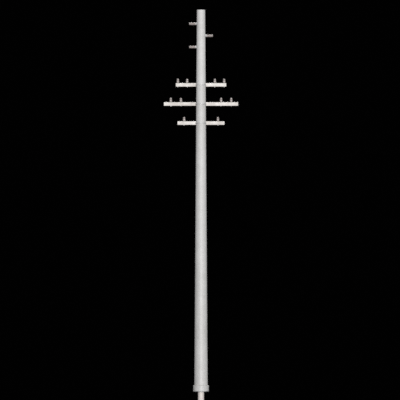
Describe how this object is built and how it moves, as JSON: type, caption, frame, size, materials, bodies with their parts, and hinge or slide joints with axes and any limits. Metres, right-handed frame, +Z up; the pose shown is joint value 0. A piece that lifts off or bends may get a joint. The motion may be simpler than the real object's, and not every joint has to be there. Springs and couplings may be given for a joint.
{
  "type": "utility pole with crossarms",
  "caption": "Tapered concrete utility pole with steel crossarms, upright pin insulators, sideways post insulators, a base collar and a root spigot.",
  "frame": {"origin": "on the pole's axis at the underside of the base plate, which is ground level", "axes": "+Z up along the pole; X along the crossarms; the crossarms are on the pole's +Y side, and -Y is the front the picture shows"},
  "size_m": [2.371, 0.5586, 12.6],
  "materials": {
    "concrete": "matte",
    "painted_steel": "satin",
    "galvanised_steel": "satin",
    "cast_fitting": "matte",
    "porcelain": "gloss",
    "end_cap_plastic": "matte"
  },
  "bodies": {
    "root": {"pole_shaft": "concrete", "pole_cap": "concrete", "base_collar": "concrete", "base_plate": "galvanised_steel", "root_tube": "painted_steel", "root_end_plate": "painted_steel", "top_crossarm": "painted_steel", "top_arm_end_caps": "end_cap_plastic", "top_arm_saddle": "galvanised_steel", "top_arm_u_bolt": "galvanised_steel", "top_pin_1": "galvanised_steel", "top_insulator_1": "porcelain", "top_pin_2": "galvanised_steel", "top_insulator_2": "porcelain", "top_pin_3": "galvanised_steel", "top_insulator_3": "porcelain", "top_pin_4": "galvanised_steel", "top_insulator_4": "porcelain", "middle_crossarm": "painted_steel", "middle_arm_end_caps": "end_cap_plastic", "middle_arm_saddle": "galvanised_steel", "middle_arm_u_bolt": "galvanised_steel", "middle_pin_1": "galvanised_steel", "middle_insulator_1": "porcelain", "middle_pin_2": "galvanised_steel", "middle_insulator_2": "porcelain", "middle_pin_3": "galvanised_steel", "middle_insulator_3": "porcelain", "middle_pin_4": "galvanised_steel", "middle_insulator_4": "porcelain", "bottom_crossarm": "painted_steel", "bottom_arm_end_caps": "end_cap_plastic", "bottom_arm_saddle": "galvanised_steel", "bottom_arm_u_bolt": "galvanised_steel", "bottom_pin_1": "galvanised_steel", "bottom_insulator_1": "porcelain", "bottom_pin_2": "galvanised_steel", "bottom_insulator_2": "porcelain", "upper_left_side_insulator": "porcelain", "upper_left_side_base": "cast_fitting", "right_side_insulator": "porcelain", "right_side_base": "cast_fitting", "lower_left_side_insulator": "porcelain", "lower_left_side_base": "cast_fitting"}
  },
  "joints": []
}
